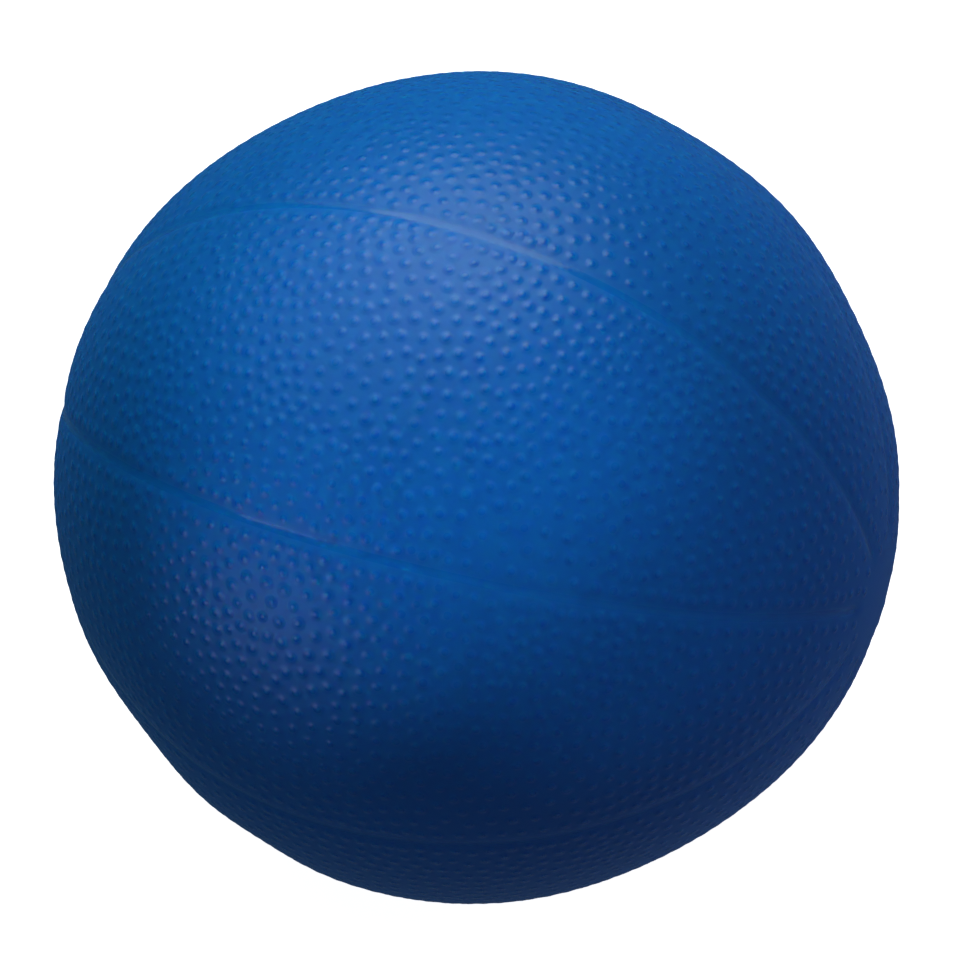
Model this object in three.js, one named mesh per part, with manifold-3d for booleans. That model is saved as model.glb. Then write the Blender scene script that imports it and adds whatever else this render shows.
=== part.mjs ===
// A soft air-filled play ball: one moulded vinyl skin of eight panels parted by grooves, with a push-in air plug.
// Millimetres, +Z up. X is the ball's axis, from the valve pole at -X to the plain pole at +X.
// The origin is the middle of the flat patch on which the ball rests.

import * as THREE from 'three';
import { mergeVertices } from 'three/addons/utils/BufferGeometryUtils.js';
import Module from 'manifold-3d';

const wasm = await Module();
wasm.setup();

// Skin
const BALL_ACROSS = 220; // over the middles of the panels, halfway between the poles
const BALL_LENGTH = 223.5; // from pole to pole
const SKIN_WALL = 1;
const PANELS = 8;
const FIRST_GROOVE = 10.8; // degrees about X, from +Y towards +Z
const GROOVE_WIDTH = 5.6;
const GROOVE_DEPTH = 0.2;
const GROOVE_RUNOUT = 7; // length over which a groove rises to the plain disc of the pole
const PANEL_CROWN = 0.5; // how far the middle of a panel stands above its edges
const POLE_DISC = 28; // diameter of the plain disc at each pole
const REST_PATCH = 30; // diameter of the flat that the ball's weight presses

// Shallow hollows of a skin that isn't blown up hard, each by its place in degrees from the +X pole and
// in degrees about X, its depth, and how far it reaches along the skin.
const HOLLOWS = [
  { along: 41, around: 34, depth: 1.6, reach: 27 },
  { along: 73, around: 45, depth: 1.4, reach: 29 },
  { along: 129, around: 64, depth: 1.3, reach: 36 },
  { along: 124, around: 206, depth: 2, reach: 23 },
  { along: 104, around: 213, depth: 1.2, reach: 15 },
  { along: 48, around: 230, depth: 1.6, reach: 38 },
];

// Air valve in the -X pole
const DISH_WIDTH = 18; // rim of the hollow that takes the head of the plug
const DISH_DEPTH = 2.4;
const DISH_LEAN = 1; // how far the wall of the hollow leans in on its way down
const SEAT_NECK = 9.4; // where the seat passes through the skin
const SEAT_BORE = 6.4;
const SEAT_LEAD_IN = 0.5;
const SEAT_FLANGE = 17;
const SEAT_FLANGE_THICK = 1.6;
const SEAT_TUBE = 9; // from the flange into the ball
const SEAT_TUBE_LENGTH = 15;
const SEAT_TUBE_TAPER = 0.5; // how far the tube narrows towards its end, on each side
const PLUG_HEAD = 13;
const PLUG_HEAD_THICK = 1.7;
const PLUG_HEAD_CROWN = 0.5; // rise of the middle of the head over its edge
const PLUG_LIP = 0.5; // undercut round the head, for a fingernail
const PLUG_STEM = 4.6;
const PLUG_STEM_LENGTH = 14;
const PLUG_RINGS = 3;
const PLUG_RING_WIDTH = 1.8;
const PLUG_RING_PITCH = 3;
const PLUG_TIP = 2.4; // diameter of the blunt end
const PLUG_TIP_LENGTH = 3;

// Free space between the seat and the skin, and between the plug and its seat
const CLEARANCE = 0.3;

// Fineness of the surfaces
const OUTSIDE = { row: 8.5, grooveSteps: 2, panelSteps: 6 };
const INSIDE = { row: 13, grooveSteps: 1, panelSteps: 4 };
const SIDES = 32;

const HALF_ACROSS = BALL_ACROSS / 2;
const HALF_LENGTH = BALL_LENGTH / 2;
const PANEL_TURN = (2 * Math.PI) / PANELS;
const { degToRad, euclideanModulo, smoothstep } = THREE.MathUtils;

// Unit vector at an angle from the +X pole and an angle about X, from +Y towards +Z.
function direction(along, around) {
  const girth = Math.sin(along);
  return new THREE.Vector3(Math.cos(along), girth * Math.cos(around), girth * Math.sin(around));
}

const hollows = HOLLOWS.map((hollow) => ({
  ...hollow,
  middle: direction(degToRad(hollow.along), degToRad(hollow.around)),
}));

// Distance from the ball's centre to the outside of its skin: a spheroid whose panels are crowned
// between rounded grooves, less the hollows.
function skinRadius(along, around) {
  const spheroid = 1 / Math.hypot(Math.cos(along) / HALF_LENGTH, Math.sin(along) / HALF_ACROSS);
  const turn = euclideanModulo(around - degToRad(FIRST_GROOVE), PANEL_TURN);
  const side = Math.min(turn, PANEL_TURN - turn);
  const crownDrop = PANEL_CROWN * (1 - side / (PANEL_TURN / 2)) ** 2;
  const across = Math.min(side * HALF_ACROSS * Math.sin(along), GROOVE_WIDTH / 2);
  const groove = (GROOVE_DEPTH / 2) * (1 + Math.cos((2 * Math.PI * across) / GROOVE_WIDTH));
  const fromPole = Math.min(along, Math.PI - along) * HALF_ACROSS;
  const onPanel = smoothstep(fromPole, POLE_DISC / 2, POLE_DISC / 2 + GROOVE_RUNOUT);
  const here = direction(along, around);
  const slack = hollows.reduce((sum, { middle, depth, reach }) => {
    const away = here.angleTo(middle) * HALF_ACROSS;
    return sum + depth * Math.exp(-((away / reach) ** 2));
  }, 0);
  return spheroid - onPanel * (crownDrop + groove) - slack;
}

// Angles from the +X pole at which the rows of a ball surface lie: closer at the poles, then evenly spaced.
function rowAngles(row) {
  const quarter = (Math.PI / 2) * HALF_ACROSS;
  const panelStart = POLE_DISC / 2 + GROOVE_RUNOUT;
  const count = Math.ceil((quarter - panelStart) / row);
  const onPanel = Array.from({ length: count }, (_, i) => panelStart + ((quarter - panelStart) * i) / count);
  const places = [POLE_DISC / 4, POLE_DISC / 2, (POLE_DISC / 2 + panelStart) / 2, ...onPanel];
  const half = places.map((place) => place / HALF_ACROSS);
  return [...half, Math.PI / 2, ...half.map((angle) => Math.PI - angle).reverse()];
}

// Angles about X of one row's points: in each panel some follow its grooves, and the rest share its land evenly.
function rowTurns(along, grooveSteps, panelSteps) {
  const edge = Math.min(GROOVE_WIDTH / 2 / (HALF_ACROSS * Math.sin(along)), 0.3 * PANEL_TURN);
  const land = PANEL_TURN - 2 * edge;
  const out = Array.from({ length: grooveSteps }, (_, i) => (edge * i) / grooveSteps);
  const over = Array.from({ length: panelSteps }, (_, i) => edge + (land * i) / panelSteps);
  const back = Array.from({ length: grooveSteps }, (_, i) => edge + land + (edge * i) / grooveSteps);
  const panel = [...out, ...over, ...back];
  const starts = Array.from({ length: PANELS }, (_, i) => degToRad(FIRST_GROOVE) + i * PANEL_TURN);
  return starts.flatMap((start) => panel.map((turn) => start + turn));
}

// Closed surface round the ball's centre, a given depth below the outside of the skin.
function ballSurface(depth, { row, grooveSteps, panelSteps }) {
  const rows = rowAngles(row);
  const columns = PANELS * (2 * grooveSteps + panelSteps);
  const point = (along, around) => direction(along, around).multiplyScalar(skinRadius(along, around) - depth);
  const points = [
    point(0, 0),
    ...rows.flatMap((along) => rowTurns(along, grooveSteps, panelSteps).map((around) => point(along, around))),
    point(Math.PI, 0),
  ];
  const at = (i, j) => 1 + i * columns + (j % columns);
  const last = points.length - 1;
  const triangles = [];
  for (let j = 0; j < columns; j += 1) {
    triangles.push(0, at(0, j), at(0, j + 1));
    triangles.push(last, at(rows.length - 1, j + 1), at(rows.length - 1, j));
    for (let i = 0; i < rows.length - 1; i += 1) {
      triangles.push(at(i, j), at(i + 1, j), at(i + 1, j + 1));
      triangles.push(at(i, j), at(i + 1, j + 1), at(i, j + 1));
    }
  }
  return new THREE.BufferGeometry().setFromPoints(points).setIndex(triangles);
}

// Body of revolution about X from a profile of [x, radius] points.
function turnedAboutX(profile) {
  const points = profile.map(([x, radius]) => new THREE.Vector2(radius, x));
  return new THREE.LatheGeometry(points, SIDES).rotateZ(-Math.PI / 2);
}

// Closed geometry as a solid that can be cut.
function solid(geometry) {
  geometry.deleteAttribute('normal');
  geometry.deleteAttribute('uv');
  const merged = mergeVertices(geometry);
  const corners = Array.from(merged.index.array);
  const kept = corners.filter((_, i) => {
    const [a, b, c] = corners.slice(i - (i % 3), i - (i % 3) + 3);
    return a !== b && b !== c && c !== a;
  });
  return new wasm.Manifold(
    new wasm.Mesh({ numProp: 3, vertProperties: merged.attributes.position.array, triVerts: new Uint32Array(kept) }),
  );
}

// Cut solid as a geometry.
function geometryOf(cut) {
  const mesh = cut.getMesh();
  const geometry = new THREE.BufferGeometry();
  geometry.setAttribute('position', new THREE.BufferAttribute(mesh.vertProperties, 3));
  geometry.setIndex(new THREE.BufferAttribute(mesh.triVerts, 1));
  geometry.computeVertexNormals();
  return geometry;
}

// The floor presses the lowest part of the skin flat, so the centre stands a little lower than the radius.
const lowestRadius = skinRadius(Math.PI / 2, (3 * Math.PI) / 2);
const centreHeight = Math.sqrt(lowestRadius ** 2 - (REST_PATCH / 2) ** 2);

// Everything below a level, seen from the ball's centre.
function floorBelow(level) {
  const box = new THREE.BoxGeometry(2 * BALL_LENGTH, 2 * BALL_LENGTH, BALL_LENGTH);
  return solid(box.translate(0, 0, level - BALL_LENGTH / 2));
}

// Valve places along X, from the -X pole into the ball
const dishFloor = DISH_DEPTH;
const bossFace = dishFloor + SKIN_WALL;
const flangeFace = bossFace + CLEARANCE;
const headUnderside = dishFloor - CLEARANCE;
const tubeEnd = flangeFace + SEAT_FLANGE_THICK + SEAT_TUBE_LENGTH;

// A round tool about X, placed by its distance from the -X pole.
function poleTool(profile) {
  return solid(turnedAboutX(profile).translate(-HALF_LENGTH, 0, 0));
}

// Skin: the ball, its air space and the dished boss with the valve hole. The boss keeps the wall behind the dish.
function skinGeometry() {
  const outside = -DISH_WIDTH;
  const dishRim = DISH_WIDTH / 2;
  const dish = poleTool([
    [outside, 0],
    [outside, dishRim],
    [0, dishRim],
    [dishFloor, dishRim - DISH_LEAN],
    [dishFloor, 0],
  ]);
  const boss = poleTool([
    [outside, 0],
    [outside, dishRim + SKIN_WALL],
    [bossFace, dishRim + SKIN_WALL],
    [bossFace, 0],
  ]);
  const hole = poleTool([
    [outside, 0],
    [outside, SEAT_NECK / 2 + CLEARANCE],
    [bossFace + DISH_WIDTH, SEAT_NECK / 2 + CLEARANCE],
    [bossFace + DISH_WIDTH, 0],
  ]);
  const ball = solid(ballSurface(0, OUTSIDE)).subtract(floorBelow(-centreHeight)).subtract(dish);
  const air = solid(ballSurface(SKIN_WALL, INSIDE)).subtract(floorBelow(SKIN_WALL - centreHeight)).subtract(boss);
  return geometryOf(ball.subtract(air).subtract(hole));
}

// Seat: a bush whose neck fills the valve hole, with a flange bonded behind the boss and a tube into the ball.
function seatGeometry() {
  const bore = SEAT_BORE / 2;
  return turnedAboutX([
    [dishFloor, bore + SEAT_LEAD_IN],
    [dishFloor, SEAT_NECK / 2],
    [flangeFace, SEAT_NECK / 2],
    [flangeFace, SEAT_FLANGE / 2],
    [flangeFace + SEAT_FLANGE_THICK, SEAT_FLANGE / 2],
    [flangeFace + SEAT_FLANGE_THICK, SEAT_TUBE / 2],
    [tubeEnd, SEAT_TUBE / 2 - SEAT_TUBE_TAPER],
    [tubeEnd, bore],
    [dishFloor + SEAT_LEAD_IN, bore],
    [dishFloor, bore + SEAT_LEAD_IN],
  ]);
}

// Plug: a low head with an undercut lip, and a stem whose rounded rings grip the bore of the seat.
function plugGeometry() {
  const stem = PLUG_STEM / 2;
  const ring = SEAT_BORE / 2 - CLEARANCE;
  const head = PLUG_HEAD / 2;
  const headTop = headUnderside - PLUG_HEAD_THICK;
  const crown = [0, 0.4, 0.7, 0.9].map((share) => [headTop + PLUG_HEAD_CROWN * share ** 2, head * share]);
  const rings = Array.from({ length: PLUG_RINGS }, (_, i) => {
    const middle = headUnderside + PLUG_RING_PITCH * (i + 1);
    return [-1, -0.5, 0, 0.5, 1].map((share) => [
      middle + (share * PLUG_RING_WIDTH) / 2,
      stem + (ring - stem) * Math.cos((share * Math.PI) / 2) ** 2,
    ]);
  });
  return turnedAboutX([
    ...crown,
    [headTop + PLUG_HEAD_CROWN, head - PLUG_LIP / 2],
    [headTop + PLUG_HEAD_CROWN + PLUG_LIP / 2, head],
    [headUnderside - PLUG_LIP, head],
    [headUnderside, head - PLUG_LIP],
    [headUnderside, stem],
    ...rings.flat(),
    [headUnderside + PLUG_STEM_LENGTH - PLUG_TIP_LENGTH, stem],
    [headUnderside + PLUG_STEM_LENGTH, PLUG_TIP / 2],
    [headUnderside + PLUG_STEM_LENGTH, 0],
  ]);
}

const softVinyl = new THREE.MeshStandardMaterial({ color: '#0d57ab', roughness: 0.42, metalness: 0 });
const bushVinyl = new THREE.MeshStandardMaterial({ color: '#0b3f86', roughness: 0.5, metalness: 0 });
const plugPlastic = new THREE.MeshStandardMaterial({ color: '#e9e7e0', roughness: 0.45, metalness: 0 });

function named(name, geometry, material) {
  const mesh = new THREE.Mesh(geometry, material);
  mesh.name = name;
  return mesh;
}

const valve = new THREE.Group();
valve.position.x = -HALF_LENGTH;
valve.add(named('valve_seat', seatGeometry(), bushVinyl), named('valve_plug', plugGeometry(), plugPlastic));

const ball = new THREE.Group();
ball.position.z = centreHeight;
ball.add(named('ball_skin', skinGeometry(), softVinyl), valve);

const part = new THREE.Group();
part.add(ball);

export default part;
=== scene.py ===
"""A soft air-filled play ball of pebbled vinyl with a push-in air plug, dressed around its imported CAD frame.

Metres, +Z up. X is the ball's axis, from the valve pole at -X to the plain pole at +X, and the origin is the
middle of the flat patch on which the ball rests. The pieces' sizes are in millimetres until MM makes them
metres.
"""

import math

import bpy
import numpy as np
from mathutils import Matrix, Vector


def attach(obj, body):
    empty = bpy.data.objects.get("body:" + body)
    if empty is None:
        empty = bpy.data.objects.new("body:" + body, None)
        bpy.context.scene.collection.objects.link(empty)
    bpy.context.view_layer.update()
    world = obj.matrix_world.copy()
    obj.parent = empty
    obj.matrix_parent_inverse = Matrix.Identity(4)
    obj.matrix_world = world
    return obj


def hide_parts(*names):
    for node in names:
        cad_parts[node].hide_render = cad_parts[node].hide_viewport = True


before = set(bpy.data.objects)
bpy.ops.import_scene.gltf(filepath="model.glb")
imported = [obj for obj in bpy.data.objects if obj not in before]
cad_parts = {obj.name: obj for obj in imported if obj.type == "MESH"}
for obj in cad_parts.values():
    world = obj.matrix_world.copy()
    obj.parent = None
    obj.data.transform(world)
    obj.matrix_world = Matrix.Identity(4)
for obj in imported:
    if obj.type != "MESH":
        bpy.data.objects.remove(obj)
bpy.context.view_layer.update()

# Skin: the one-piece ball, cast in soft PVC in a heated turning mould whose wall prints eight pebbled panels,
# the smooth grooves between them and a plain disc on each pole. The air inside holds it out, not quite hard,
# so it keeps a few shallow hollows and stands on a small flat.
MM = 0.001
BALL_ACROSS = 220.0
BALL_LENGTH = 223.5
SKIN_WALL = 1.0
PANELS = 8
PANEL_TURN = 2 * math.pi / PANELS
FIRST_GROOVE = math.radians(10.8)  # about X, from +Y towards +Z
GROOVE_WIDTH = 5.6
GROOVE_DEPTH = 0.2
GROOVE_RUNOUT = 7.0
PANEL_CROWN = 0.5
POLE_DISC = 28.0
REST_PATCH = 30.0
HALF_ACROSS = BALL_ACROSS / 2
HALF_LENGTH = BALL_LENGTH / 2

# The panels' land along the skin, measured from the +X pole.
LAND_START = POLE_DISC / 2
LAND_END = math.pi * HALF_ACROSS - POLE_DISC / 2

# Each hollow: degrees from the +X pole, degrees about X, depth, reach along the skin.
HOLLOWS = (
    (41, 34, 1.6, 27),
    (73, 45, 1.4, 29),
    (129, 64, 1.3, 36),
    (124, 206, 2.0, 23),
    (104, 213, 1.2, 15),
    (48, 230, 1.6, 38),
)

PEBBLE_PITCH = 4.9
PEBBLE_REACH = 2.15  # from a pebble's top to the land round it
PEBBLE_HEIGHT = 0.12
PEBBLE_EDGE = 1.6  # bare strip between a groove's middle line and the ground that pebbles share out
PEBBLE_SIZES = (0.8, 1.12)  # smallest and largest share of the reach
PEBBLE_SEED = 7
RELAX_ROUNDS = 45
GROUND_STEP = 1.0  # spacing of the points that stand for a panel's ground
GROUND_TURNS = 87  # their steps across a panel
SEARCH_PARTS = 16  # parts in which the nearest pebbles are sought, to save memory

SKIN_STEP = 0.85  # spacing of the surface's rows and columns
PANEL_COLUMNS = 102
DISC_ROWS = (2.0, 5.0, 8.0, 10.5, 12.5)  # rows on a pole disc, from the pole
INNER_ROWS = 26
INNER_FROM_VALVE = 11.0  # where the inner wall starts, from the -X pole
INNER_FROM_PLAIN = 2.0  # and where it ends, from the +X pole

# The valve hole's dish in the -X pole, from the ball's outside in: distance from the pole plane, radius.
DISH = (
    (0.40, 9.70),
    (0.40, 9.40),
    (0.46, 9.15),
    (0.60, 8.96),
    (0.80, 8.84),
    (1.90, 8.24),
    (2.16, 8.06),
    (2.34, 7.80),
    (2.40, 7.45),
    (2.40, 5.30),
    (2.44, 5.12),
    (2.56, 5.03),
    (2.80, 5.00),
    (3.40, 5.00),
    (3.40, 9.60),
    (3.20, 10.0),
)


def direction(along, around):
    """Unit vectors at an angle from the +X pole and an angle about X: the cosine of along on X, and its sine
    shared between Y and Z by the cosine and sine of around."""
    along, around = np.broadcast_arrays(along, around)
    girth = np.sin(along)
    return np.stack([np.cos(along), girth * np.cos(around), girth * np.sin(around)], axis=-1)


def smooth_rise(value, start, end):
    """0 before start, 1 after end, and between them three squares less two cubes of the share of the way."""
    share = np.clip((value - start) / (end - start), 0, 1)
    return share * share * (3 - 2 * share)


def groove_and_crown(along, side):
    """Depth below the spheroid of a point that lies side radians about X from its nearest groove: a crown that
    falls with the square of the way to the groove, and a groove with a raised-cosine section, both fading out
    at the poles. Also returns the groove's share alone, from 0 to 1."""
    crown_drop = PANEL_CROWN * (1 - side / (PANEL_TURN / 2)) ** 2
    across = np.minimum(side * HALF_ACROSS * np.sin(along), GROOVE_WIDTH / 2)
    groove = (1 + np.cos(2 * np.pi * across / GROOVE_WIDTH)) / 2
    from_pole = np.minimum(along, np.pi - along) * HALF_ACROSS
    on_panel = smooth_rise(from_pole, LAND_START, LAND_START + GROOVE_RUNOUT)
    return on_panel * (crown_drop + GROOVE_DEPTH * groove), on_panel * groove


def slack(along, around):
    """Summed depth of the hollows: each falls off with the square of the distance over its reach, as a bell."""
    here = direction(along, around)
    total = np.zeros(here.shape[:-1])
    for hollow_along, hollow_around, depth, reach in HOLLOWS:
        middle = direction(math.radians(hollow_along), math.radians(hollow_around))
        away = np.arccos(np.clip(here @ middle, -1, 1)) * HALF_ACROSS
        total += depth * np.exp(-((away / reach) ** 2))
    return total


def spheroid(along):
    """Distance from centre to surface of a spheroid with the ball's length along X and its width across."""
    return 1 / np.hypot(np.cos(along) / HALF_LENGTH, np.sin(along) / HALF_ACROSS)


def pebble_middles():
    """Tops of one panel's pebbles, as unit vectors with the panel's first groove at angle 0 about X. As many
    points as a six-sided packing of the pitch would hold are scattered over the panel's ground, and then each
    moves to the middle of the ground that lies nearest to it, again and again, until they share it evenly."""
    along = np.arange(LAND_START + GROUND_STEP, LAND_END - GROUND_STEP, GROUND_STEP) / HALF_ACROSS
    turn = np.linspace(0, PANEL_TURN, GROUND_TURNS + 1)
    along, turn = (axis.ravel() for axis in np.meshgrid(along, turn, indexing="ij"))
    side = np.minimum(turn, PANEL_TURN - turn)
    on_ground = side * HALF_ACROSS * np.sin(along) > PEBBLE_EDGE
    along, turn = along[on_ground], turn[on_ground]
    ground = direction(along, turn)
    share = np.sin(along)
    area = share.sum() * GROUND_STEP * HALF_ACROSS * PANEL_TURN / GROUND_TURNS
    count = round(area / (math.sqrt(3) / 2 * PEBBLE_PITCH**2))
    draw = np.random.default_rng(PEBBLE_SEED)
    middles = ground[draw.choice(len(ground), count, replace=False, p=share / share.sum())]
    for _ in range(RELAX_ROUNDS):
        nearest = (ground @ middles.T).argmax(axis=1)
        weight = np.bincount(nearest, share, count)
        moved = np.stack([np.bincount(nearest, share * ground[:, k], count) for k in range(3)], axis=-1)
        moved = np.where(weight[:, None] > 0, moved, middles)
        middles = moved / np.linalg.norm(moved, axis=1, keepdims=True)
    return middles


def pebble_rise(along, turn, middles, sizes):
    """From 0 on the land to 1 on a pebble's top: a raised cosine of the distance to the nearest pebble over its
    reach and size."""
    here = direction(along, turn)
    parts = np.array_split(here, SEARCH_PARTS)
    nearest = np.concatenate([(rows @ middles.T).argmax(axis=-1) for rows in parts])
    away = np.arccos(np.clip((here * middles[nearest]).sum(axis=-1), -1, 1)) * HALF_ACROSS
    return (1 + np.cos(np.pi * np.minimum(away / (PEBBLE_REACH * sizes[nearest]), 1))) / 2


def pebble_places(along, turn, middles, sizes):
    """For the four corners of each cell of a panel's grid, the way in millimetres from the pebble nearest to
    the cell's middle, over that pebble's size: how far towards the -X pole, and how far about X."""
    cell = direction((along[:-1] + along[1:])[:, None] / 2, (turn[:-1] + turn[1:]) / 2)
    nearest = np.stack([(rows @ middles.T).argmax(axis=-1) for rows in cell])
    top_along, top_turn = np.arccos(middles[:, 0]), np.arctan2(middles[:, 2], middles[:, 1])
    onward = direction(top_along + np.pi / 2, top_turn)[nearest][:, :, None]
    about = np.stack([0 * top_turn, -np.sin(top_turn), np.cos(top_turn)], axis=-1)[nearest][:, :, None]
    grid = direction(along[:, None], turn)
    corners = np.stack([grid[:-1, :-1], grid[1:, :-1], grid[1:, 1:], grid[:-1, 1:]], axis=2)
    way = np.stack([(corners * onward).sum(-1), (corners * about).sum(-1)], axis=-1) * HALF_ACROSS
    return way / sizes[nearest][:, :, None, None]


def closed_mesh(name, rings, ends=None):
    """Mesh of a grid of rings: quads join each ring to the next, and each ring is closed on itself. Fans of
    triangles close the first and the last ring to the two points in ends; without ends, the last ring joins
    the first. Faces point outwards where the rings follow each other towards -X on the outside."""
    count, sides = rings.shape[:2]
    steps = count if ends is None else count - 1
    step, side = (axis.ravel() for axis in np.meshgrid(np.arange(steps), np.arange(sides), indexing="ij"))
    after, onward = (side + 1) % sides, (step + 1) % count
    quads = np.stack(
        [step * sides + side, onward * sides + side, onward * sides + after, step * sides + after], axis=-1
    )
    points, fans = rings.reshape(-1, 3), np.empty((0, 3), int)
    if ends is not None:
        around, onward = np.arange(sides), (np.arange(sides) + 1) % sides
        first, last = np.full(sides, len(points)), np.full(sides, len(points) + 1)
        foot = (count - 1) * sides
        head_fan = np.stack([first, around, onward], axis=-1)
        foot_fan = np.stack([last, foot + onward, foot + around], axis=-1)
        fans = np.concatenate([head_fan, foot_fan])
        points = np.concatenate([points, np.asarray(ends)])
    corners = np.concatenate([quads.ravel(), fans.ravel()])
    starts = np.concatenate([np.arange(len(quads)) * 4, len(quads) * 4 + np.arange(len(fans)) * 3])
    mesh = bpy.data.meshes.new(name)
    mesh.vertices.add(len(points))
    mesh.vertices.foreach_set("co", np.ascontiguousarray(points, np.float32).ravel())
    mesh.loops.add(len(corners))
    mesh.loops.foreach_set("vertex_index", corners.astype(np.int32))
    mesh.polygons.add(len(starts))
    mesh.polygons.foreach_set("loop_start", starts.astype(np.int32))
    mesh.update(calc_edges=True)
    mesh.shade_smooth()
    piece = bpy.data.objects.new(name, mesh)
    bpy.context.scene.collection.objects.link(piece)
    return piece


skin_turns = np.arange(PANEL_COLUMNS) * PANEL_TURN / PANEL_COLUMNS
skin_around = FIRST_GROOVE + np.arange(PANELS * PANEL_COLUMNS) * PANEL_TURN / PANEL_COLUMNS
land_rows = np.linspace(LAND_START, LAND_END, round((LAND_END - LAND_START) / SKIN_STEP) + 1)
disc_rows = np.array(DISC_ROWS)
valve_rows = np.pi * HALF_ACROSS - disc_rows[:2:-1]  # the dish takes the place of the others
outer_rows = np.concatenate([disc_rows, land_rows, valve_rows]) / HALF_ACROSS
inner_rows = np.linspace(np.pi - INNER_FROM_VALVE / HALF_ACROSS, INNER_FROM_PLAIN / HALF_ACROSS, INNER_ROWS)

tops = pebble_middles()
top_sizes = np.random.default_rng(PEBBLE_SEED).uniform(*PEBBLE_SIZES, len(tops))
row, turn = np.meshgrid(outer_rows, skin_turns, indexing="ij")
panel_drop, panel_groove = groove_and_crown(row, np.minimum(turn, PANEL_TURN - turn))
panel_height = PEBBLE_HEIGHT * pebble_rise(row, turn, tops, top_sizes) - panel_drop

row, around = np.meshgrid(outer_rows, skin_around, indexing="ij")
outer_radius = spheroid(row) - slack(row, around) + np.tile(panel_height, (1, PANELS))
outer = direction(row, around) * outer_radius[..., None]

# The ball sinks until the flat that the floor presses into its lowest side is as wide as the rest patch.
lowest = spheroid(np.pi / 2) - groove_and_crown(np.pi / 2, (1.5 * np.pi - FIRST_GROOVE) % PANEL_TURN)[0]
lowest = lowest - slack(np.pi / 2, 1.5 * np.pi)
centre_height = math.sqrt(float(lowest) ** 2 - (REST_PATCH / 2) ** 2)

dish_x, dish_radius = np.array(DISH).T
dish = np.stack(
    [
        np.repeat(dish_x[:, None] - HALF_LENGTH, len(skin_around), axis=1),
        dish_radius[:, None] * np.cos(skin_around),
        dish_radius[:, None] * np.sin(skin_around),
    ],
    axis=-1,
)

row, around = np.meshgrid(inner_rows, skin_around, indexing="ij")
inner_turn = (around - FIRST_GROOVE) % PANEL_TURN
inner_drop = groove_and_crown(row, np.minimum(inner_turn, PANEL_TURN - inner_turn))[0]
inner_radius = spheroid(row) - slack(row, around) - inner_drop - SKIN_WALL
inner = direction(row, around) * inner_radius[..., None]


def standing(points, floor):
    """Points lifted from the ball's centre to its height over the floor, none lower than the floor given."""
    lifted = points + np.array([0, 0, centre_height])
    lifted[..., 2] = np.maximum(lifted[..., 2], floor)
    return lifted


skin_rings = np.concatenate([standing(outer, 0.0), standing(dish, 0.0), standing(inner, SKIN_WALL)])
skin_ends = standing(np.array([[HALF_LENGTH, 0, 0], [HALF_LENGTH - SKIN_WALL, 0, 0]]), 0.0)
skin = closed_mesh("ball_skin_soft", skin_rings * MM, skin_ends * MM)

# The map gives each point of the panels its way from the nearest pebble's top, and the attribute its share of
# the groove. Elsewhere the map holds a whole pitch, which is past every pebble.
panel_places = pebble_places(outer_rows, np.append(skin_turns, PANEL_TURN), tops, top_sizes)
places = np.full((len(skin.data.loops), 2), PEBBLE_PITCH, np.float32)
outer_corners = (len(outer_rows) - 1) * len(skin_around) * 4
places[:outer_corners] = np.tile(panel_places, (1, PANELS, 1, 1)).reshape(-1, 2)
skin.data.uv_layers.new(name="pebble_map").uv.foreach_set("vector", places.ravel())

groove_shares = np.zeros(len(skin.data.vertices), np.float32)
groove_shares[: len(outer_rows) * len(skin_around)] = np.tile(panel_groove, (1, PANELS)).ravel()
skin.data.attributes.new("groove", "FLOAT", "POINT").data.foreach_set("value", groove_shares)


def add_node(tree, kind, inputs=None, **settings):
    """Adds a node of a kind. Settings are the node's own properties, and inputs gives each named or numbered
    socket a value, or the socket that it is linked from."""
    node = tree.nodes.new(kind)
    for key, value in settings.items():
        setattr(node, key, value)
    for socket, value in (inputs or {}).items():
        if isinstance(value, bpy.types.NodeSocket):
            tree.links.new(value, node.inputs[socket])
        else:
            node.inputs[socket].default_value = value
    return node


def linear(hex_colour):
    """An sRGB hex colour as linear red, green, blue and full alpha: a channel over 255 is divided by 12.92
    where it is dark, and elsewhere 0.055 is added, the sum divided by 1.055 and raised to the power of 2.4."""
    srgb = np.array([int(hex_colour[i : i + 2], 16) for i in (1, 3, 5)]) / 255
    rgb = np.where(srgb <= 0.04045, srgb / 12.92, ((srgb + 0.055) / 1.055) ** 2.4)
    return (*rgb.tolist(), 1.0)


# Soft PVC, cast against a blasted mould: satin, a little glossier on the tops that hands rub and in the smooth
# grooves, and milky enough to soften the shading of the pebbles. The grooves are painted a lighter blue than
# the panels. This is painted light that offsets the shade falling on the grooves' walls.
VINYL_BLUES = ("#0264c0", "#046fce")
GROOVE_LIGHTENED_BLUE = "#036dcb"
SHEEN_BLUE = "#0d62c8"
CLOUD_WIDTH = 55.6
SPECKLE_WIDTH = 1.111  # the blasting's grit is finer, and is drawn as coarse as it needs to show
SPECKLE_HEIGHT = 0.2
DOME_HEIGHT = 0.25  # what the shading adds to a pebble
LAND_ROUGHNESS = 0.4
TOP_ROUGHNESS = 0.18
GROOVE_ROUGHNESS = 0.14
GROOVE_SHINE = (0.5, 0.9)  # shares of the groove between which its bottom turns glossy

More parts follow.
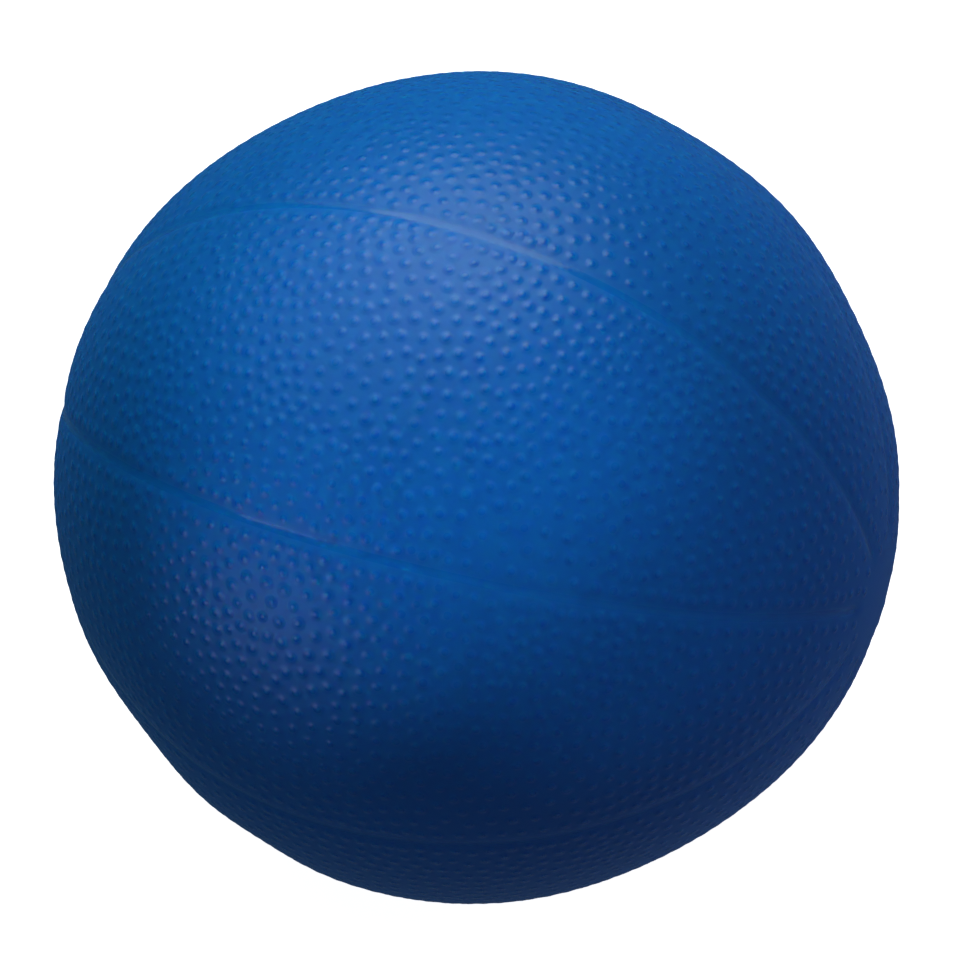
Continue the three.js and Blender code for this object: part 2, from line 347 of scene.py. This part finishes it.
vinyl = bpy.data.materials.new("cast_soft_pvc_blue")
vinyl.use_nodes = True
tree = vinyl.node_tree
tree.nodes.clear()
place = add_node(tree, "ShaderNodeTexCoord")
in_groove = add_node(tree, "ShaderNodeAttribute", attribute_name="groove")
clouds = add_node(
    tree,
    "ShaderNodeTexNoise",
    {"Vector": place.outputs["Object"], "Scale": 1 / (CLOUD_WIDTH * MM), "Detail": 3.0},
)
speckle = add_node(
    tree,
    "ShaderNodeTexNoise",
    {"Vector": place.outputs["Object"], "Scale": 1 / (SPECKLE_WIDTH * MM), "Detail": 2.0},
)
body_colour = add_node(
    tree,
    "ShaderNodeMix",
    {0: clouds.outputs["Fac"], 6: linear(VINYL_BLUES[0]), 7: linear(VINYL_BLUES[1])},
    data_type="RGBA",
)
# Painted light: a lighter blue in the grooves that offsets the shade of their walls.
groove_lightened_colour = add_node(
    tree,
    "ShaderNodeMix",
    {0: in_groove.outputs["Fac"], 6: body_colour.outputs[2], 7: linear(GROOVE_LIGHTENED_BLUE)},
    data_type="RGBA",
)
on_map = add_node(tree, "ShaderNodeUVMap", uv_map="pebble_map")
from_top = add_node(tree, "ShaderNodeVectorMath", {0: on_map.outputs["UV"]}, operation="LENGTH")
dome = add_node(
    tree,
    "ShaderNodeMapRange",
    {"Value": from_top.outputs["Value"], "From Max": PEBBLE_REACH, "To Min": 1.0, "To Max": 0.0},
    interpolation_type="SMOOTHSTEP",
)
rubbed = add_node(
    tree,
    "ShaderNodeMapRange",
    {"Value": dome.outputs["Result"], "To Min": LAND_ROUGHNESS, "To Max": TOP_ROUGHNESS},
)
groove_bottom = add_node(
    tree,
    "ShaderNodeMapRange",
    {"Value": in_groove.outputs["Fac"], "From Min": GROOVE_SHINE[0], "From Max": GROOVE_SHINE[1]},
)
satin = add_node(
    tree,
    "ShaderNodeMix",
    {0: groove_bottom.outputs["Result"], 2: rubbed.outputs["Result"], 3: GROOVE_ROUGHNESS},
    data_type="FLOAT",
)
dome_bump = add_node(
    tree, "ShaderNodeBump", {"Strength": 1.0, "Distance": DOME_HEIGHT * MM, "Height": dome.outputs["Result"]}
)
skin_bump = add_node(
    tree,
    "ShaderNodeBump",
    {
        "Strength": 0.12,
        "Distance": SPECKLE_HEIGHT * MM,
        "Height": speckle.outputs["Fac"],
        "Normal": dome_bump.outputs["Normal"],
    },
)
shader = add_node(
    tree,
    "ShaderNodeBsdfPrincipled",
    {
        "Base Color": groove_lightened_colour.outputs[2],
        "Roughness": satin.outputs[0],
        "IOR": 1.53,
        "Specular IOR Level": 0.29,
        "Sheen Weight": 0.45,
        "Sheen Roughness": 0.35,
        "Sheen Tint": linear(SHEEN_BLUE),
        "Subsurface Weight": 1.0,
        "Subsurface Radius": (0.3, 0.6, 1.0),
        "Subsurface Scale": 0.004,
        "Normal": skin_bump.outputs["Normal"],
    },
)
add_node(tree, "ShaderNodeOutputMaterial", {"Surface": shader.outputs["BSDF"]})
skin.data.materials.append(vinyl)
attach(skin, "ball")
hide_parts("ball_skin")

# Valve seat: a bush of firmer PVC, moulded, whose neck fills the hole in the dish. Its flange is bonded to the
# skin from inside, and its tube reaches into the ball and holds the stem of the plug.
TURN_SIDES = 96
ROUND_STEPS = 7

# Corners of the section, from the tube's end round the outside and back through the bore: distance from the
# pole plane, radius, and how far the rounding of the corner reaches.
SEAT = (
    (20.3, 3.2, 0.2),
    (20.3, 4.0, 0.3),
    (5.3, 4.5, 0.7),
    (5.3, 8.5, 0.4),
    (3.7, 8.5, 0.3),
    (3.7, 4.7, 0.15),
    (2.4, 4.7, 0.2),
    (2.4, 3.7, 0.15),
    (2.9, 3.2, 0.2),
)


def turned(name, corners, ends=None):
    """Piece turned about the ball's axis from the corners of its section. Near each corner the section follows
    a curve between the two points that lie a rounding's length before and after it: their squared shares of
    the way, and twice the product of the shares on the corner. Ends are the places on the axis where it
    closes."""
    corner, rounding = np.array(corners)[:, :2], np.array(corners)[:, 2:]
    before, after = np.roll(corner, 1, axis=0), np.roll(corner, -1, axis=0)
    if ends is not None:
        before[0], after[-1] = (ends[0], 0), (ends[1], 0)
    leave, join = (
        corner + rounding * (other - corner) / np.linalg.norm(other - corner, axis=1, keepdims=True)
        for other in (before, after)
    )
    share = np.linspace(0, 1, ROUND_STEPS)[:, None]
    curves = (
        (1 - share) ** 2 * leave[:, None] + 2 * share * (1 - share) * corner[:, None] + share**2 * join[:, None]
    )
    place, radius = curves.reshape(-1, 2).T
    turn = np.arange(TURN_SIDES) * 2 * np.pi / TURN_SIDES
    rings = np.stack(
        [
            np.repeat(place[:, None] - HALF_LENGTH, TURN_SIDES, axis=1),
            radius[:, None] * np.cos(turn),
            radius[:, None] * np.sin(turn) + centre_height,
        ],
        axis=-1,
    )
    tips = None if ends is None else np.array([[end - HALF_LENGTH, 0, centre_height] for end in ends]) * MM
    return closed_mesh(name, rings * MM, tips)


seat = turned("valve_seat_bush", SEAT)

# Firmer PVC: darker than the skin, satin, with the faint clouding of a thick moulding.
BUSH_BLUES = ("#04397c", "#06489a")
BUSH_CLOUD_WIDTH = 6.25
BUSH_GRAIN_WIDTH = 0.667
BUSH_GRAIN_HEIGHT = 0.1

bush_vinyl = bpy.data.materials.new("moulded_firm_pvc_blue")
bush_vinyl.use_nodes = True
tree = bush_vinyl.node_tree
tree.nodes.clear()
place = add_node(tree, "ShaderNodeTexCoord")
clouds = add_node(
    tree,
    "ShaderNodeTexNoise",
    {"Vector": place.outputs["Object"], "Scale": 1 / (BUSH_CLOUD_WIDTH * MM), "Detail": 3.0},
)
grain = add_node(
    tree,
    "ShaderNodeTexNoise",
    {"Vector": place.outputs["Object"], "Scale": 1 / (BUSH_GRAIN_WIDTH * MM), "Detail": 2.0},
)
body_colour = add_node(
    tree,
    "ShaderNodeMix",
    {0: clouds.outputs["Fac"], 6: linear(BUSH_BLUES[0]), 7: linear(BUSH_BLUES[1])},
    data_type="RGBA",
)
satin = add_node(
    tree, "ShaderNodeMapRange", {"Value": clouds.outputs["Fac"], "To Min": 0.36, "To Max": 0.5}
)
bush_bump = add_node(
    tree,
    "ShaderNodeBump",
    {"Strength": 0.2, "Distance": BUSH_GRAIN_HEIGHT * MM, "Height": grain.outputs["Fac"]},
)
shader = add_node(
    tree,
    "ShaderNodeBsdfPrincipled",
    {
        "Base Color": body_colour.outputs[2],
        "Roughness": satin.outputs["Result"],
        "IOR": 1.53,
        "Specular IOR Level": 0.4,
        "Normal": bush_bump.outputs["Normal"],
    },
)
add_node(tree, "ShaderNodeOutputMaterial", {"Surface": shader.outputs["BSDF"]})
seat.data.materials.append(bush_vinyl)
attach(seat, "ball")
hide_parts("valve_seat")

# Valve plug: the push-in stopper, moulded in natural polyethylene through a gate in the middle of its head. The
# head lies in the dish with a lip for a fingernail, and the rings of the stem grip the bore of the seat.
PLUG_TIP_END = 16.1
PLUG_HEAD_TOP = 0.3

# Corners of the section, from the stem's tip over the rings to the middle of the head, as for the seat.
PLUG = (
    (16.1, 1.2, 0.4),
    (13.1, 2.3, 0.5),
    (12.0, 2.3, 0.3),
    (11.1, 2.98, 0.6),
    (10.2, 2.3, 0.3),
    (9.0, 2.3, 0.3),
    (8.1, 2.98, 0.6),
    (7.2, 2.3, 0.3),
    (6.0, 2.3, 0.3),
    (5.1, 2.98, 0.6),
    (4.2, 2.3, 0.3),
    (2.1, 2.3, 0.4),
    (2.1, 6.0, 0.2),
    (1.6, 6.5, 0.25),
    (1.1, 6.5, 0.2),
    (0.83, 6.1, 0.2),
    (0.65, 4.55, 0.6),
    (0.48, 2.6, 0.6),
    (0.42, 0.8, 0.1),
    (0.3, 0.65, 0.1),
)

plug = turned("valve_plug_stopper", PLUG, (PLUG_TIP_END, PLUG_HEAD_TOP))

# Natural polyethylene: waxy and a little see-through, with the fine rings of the turned mould face on its head.
STOPPER_WHITES = ("#dcdad0", "#efeee8")
STOPPER_CLOUD_WIDTH = 4.55
MOULD_RING_SPACING = 0.449
MOULD_RING_HEIGHT = 0.03
WAVE_TURNS = 20 / (2 * math.pi)  # rings that the wave texture draws in one unit of its scale

stopper_plastic = bpy.data.materials.new("natural_polyethylene")
stopper_plastic.use_nodes = True
tree = stopper_plastic.node_tree
tree.nodes.clear()
place = add_node(tree, "ShaderNodeTexCoord")
from_axis = add_node(
    tree,
    "ShaderNodeMapping",
    {"Vector": place.outputs["Object"], "Location": (0, 0, -centre_height * MM)},
)
clouds = add_node(
    tree,
    "ShaderNodeTexNoise",
    {"Vector": place.outputs["Object"], "Scale": 1 / (STOPPER_CLOUD_WIDTH * MM), "Detail": 3.0},
)
mould_rings = add_node(
    tree,
    "ShaderNodeTexWave",
    {
        "Vector": from_axis.outputs["Vector"],
        "Scale": 1 / (MOULD_RING_SPACING * MM * WAVE_TURNS),
        "Distortion": 0.6,
        "Detail": 1.0,
    },
    wave_type="RINGS",
    rings_direction="X",
)
body_colour = add_node(
    tree,
    "ShaderNodeMix",
    {0: clouds.outputs["Fac"], 6: linear(STOPPER_WHITES[0]), 7: linear(STOPPER_WHITES[1])},
    data_type="RGBA",
)
satin = add_node(
    tree, "ShaderNodeMapRange", {"Value": clouds.outputs["Fac"], "To Min": 0.34, "To Max": 0.48}
)
stopper_bump = add_node(
    tree,
    "ShaderNodeBump",
    {"Strength": 0.25, "Distance": MOULD_RING_HEIGHT * MM, "Height": mould_rings.outputs["Fac"]},
)
shader = add_node(
    tree,
    "ShaderNodeBsdfPrincipled",
    {
        "Base Color": body_colour.outputs[2],
        "Roughness": satin.outputs["Result"],
        "IOR": 1.51,
        "Subsurface Weight": 0.4,
        "Subsurface Radius": (1.0, 0.9, 0.8),
        "Subsurface Scale": 0.0008,
        "Normal": stopper_bump.outputs["Normal"],
    },
)
add_node(tree, "ShaderNodeOutputMaterial", {"Surface": shader.outputs["BSDF"]})
plug.data.materials.append(stopper_plastic)
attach(plug, "plug")
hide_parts("valve_plug")

# Room: a white paper floor that curves up into the walls and the ceiling. Only the camera sees it, so it shows
# the ball's shadow but sends no light of its own to the ball. Its sizes are in metres.
ROOM_FLOOR = 4.0
ROOM_SWEEP = 2.0
ROOM_HEIGHT = 6.0

sweep = np.radians(np.arange(0, 91, 10))
room_radius = np.append(ROOM_FLOOR + ROOM_SWEEP * np.sin(sweep), ROOM_FLOOR + ROOM_SWEEP)
room_height = np.append(ROOM_SWEEP - ROOM_SWEEP * np.cos(sweep), ROOM_HEIGHT)
turn = np.arange(TURN_SIDES) * 2 * np.pi / TURN_SIDES
room_rings = np.stack(
    [
        room_radius[:, None] * np.cos(turn),
        room_radius[:, None] * np.sin(turn),
        np.repeat(room_height[:, None], TURN_SIDES, axis=1),
    ],
    axis=-1,
)
room = closed_mesh("paper_room", room_rings, np.array([[0, 0, 0], [0, 0, ROOM_HEIGHT]]))
paper = bpy.data.materials.new("white_paper")
paper.use_nodes = True
tree = paper.node_tree
tree.nodes.clear()
shader = add_node(
    tree,
    "ShaderNodeBsdfPrincipled",
    {
        "Base Color": linear("#fafafa"),
        "Roughness": 0.9,
        "Emission Color": linear("#ffffff"),
        "Emission Strength": 0.97,
    },
)
add_node(tree, "ShaderNodeOutputMaterial", {"Surface": shader.outputs["BSDF"]})
room.data.materials.append(paper)
room.visible_diffuse = False
room.visible_glossy = False
room.visible_transmission = False
room.visible_shadow = False

# Light: two soft lamps close over the ball make its broad highlight, and a violet one at the left front shows
# only in the gloss. The fills light the skin without showing in it: wide ones from the back and the right, and
# three soft spots from the front. The sky round all this is weak, and bluer on the left.
SKY_LEFT = "#79e5ff"
SKY_RIGHT = "#f4e0f4"
SKY_STRENGTH = 0.124

# Each lamp: name, kind, way to it from the ball, distance, width in metres or a spot's angle in radians, watts,
# colour, whether it lights the skin, whether the gloss shows it.
LAMPS = (
    ("overhead", "AREA", (-0.12, 0.24, 0.95), 0.39, 0.26, 0.46, "#faffe2", True, True),
    ("overhead_left", "AREA", (-0.31, -0.06, 0.93), 0.42, 0.46, 0.43, "#faffe2", True, True),
    ("left_front", "AREA", (-0.48, -0.87, 0.0), 1.2, 0.56, 2.0, "#ccc6ff", False, True),
    ("back_fill", "AREA", (-0.40, 0.65, 0.55), 1.2, 0.8, 3.5, "#d8e2ff", True, False),
    ("right_fill", "AREA", (0.80, 0.52, 0.30), 1.2, 0.8, 2.2, "#e4ecff", True, False),
    ("front_fill", "SPOT", (0.06, -0.57, 0.82), 1.2, 0.15, 18.5, "#ffffff", True, False),
    ("low_right_fill", "SPOT", (0.56, -0.65, 0.51), 1.2, 0.12, 5.2, "#ffffff", True, False),
    ("low_left_fill", "SPOT", (-0.08, -0.90, 0.42), 1.2, 0.10, 4.8, "#ffffff", True, False),
)

world = bpy.data.worlds.new("studio")
world.use_nodes = True
tree = world.node_tree
tree.nodes.clear()
way = add_node(tree, "ShaderNodeTexCoord")
way_axes = add_node(tree, "ShaderNodeSeparateXYZ", {0: way.outputs["Generated"]})
to_right = add_node(tree, "ShaderNodeMapRange", {"Value": way_axes.outputs["X"], "From Min": -1.0})
sky_colour = add_node(
    tree,
    "ShaderNodeMix",
    {0: to_right.outputs["Result"], 6: linear(SKY_LEFT), 7: linear(SKY_RIGHT)},
    data_type="RGBA",
)
sky = add_node(tree, "ShaderNodeBackground", {"Color": sky_colour.outputs[2], "Strength": SKY_STRENGTH})
add_node(tree, "ShaderNodeOutputWorld", {"Surface": sky.outputs["Background"]})
bpy.context.scene.world = world

ball_centre = Vector((0, 0, centre_height * MM))
for name, kind, toward, distance, width, watts, colour, scattered, mirrored in LAMPS:
    lamp = bpy.data.lights.new(name, kind)
    if kind == "AREA":
        lamp.shape = "SQUARE"
        lamp.size = width
    else:
        lamp.spot_size = width
        lamp.spot_blend = 1.0
    lamp.energy = watts
    lamp.color = linear(colour)[:3]
    lamp_object = bpy.data.objects.new(name, lamp)
    outward = Vector(toward).normalized()
    lamp_object.location = ball_centre + outward * distance
    lamp_object.rotation_euler = outward.to_track_quat("Z", "Y").to_euler()
    lamp_object.visible_diffuse = scattered
    lamp_object.visible_glossy = mirrored
    lamp_object.visible_camera = False
    bpy.context.scene.collection.objects.link(lamp_object)

# Camera: at the photograph's angle, with the ball where the photograph has it in a frame of 970 by 971.
FRAME_WIDTH = 970
FOCAL_PIXELS = 4155
CAMERA_DISTANCE = 1.10
AIM_RIGHT = 8.1  # pixels from the ball's middle to the frame's
AIM_UP = 1.5

camera_way = Vector((0.2681, -0.6645, 0.6975)).normalized()
camera_right = Vector((0.9273, 0.3742, 0.0)).normalized()
camera_up = camera_way.cross(camera_right)
aim = ball_centre + (camera_right * AIM_RIGHT + camera_up * AIM_UP) * CAMERA_DISTANCE / FOCAL_PIXELS
camera = bpy.data.cameras.new("camera")
camera.sensor_fit = "HORIZONTAL"
camera.sensor_width = 36.0
camera.lens = FOCAL_PIXELS / FRAME_WIDTH * camera.sensor_width
camera_object = bpy.data.objects.new("camera", camera)
camera_object.location = ball_centre + camera_way * CAMERA_DISTANCE
camera_object.rotation_euler = (camera_object.location - aim).to_track_quat("Z", "Y").to_euler()
bpy.context.scene.collection.objects.link(camera_object)
bpy.context.scene.camera = camera_object

bpy.context.scene.view_settings.view_transform = "Standard"
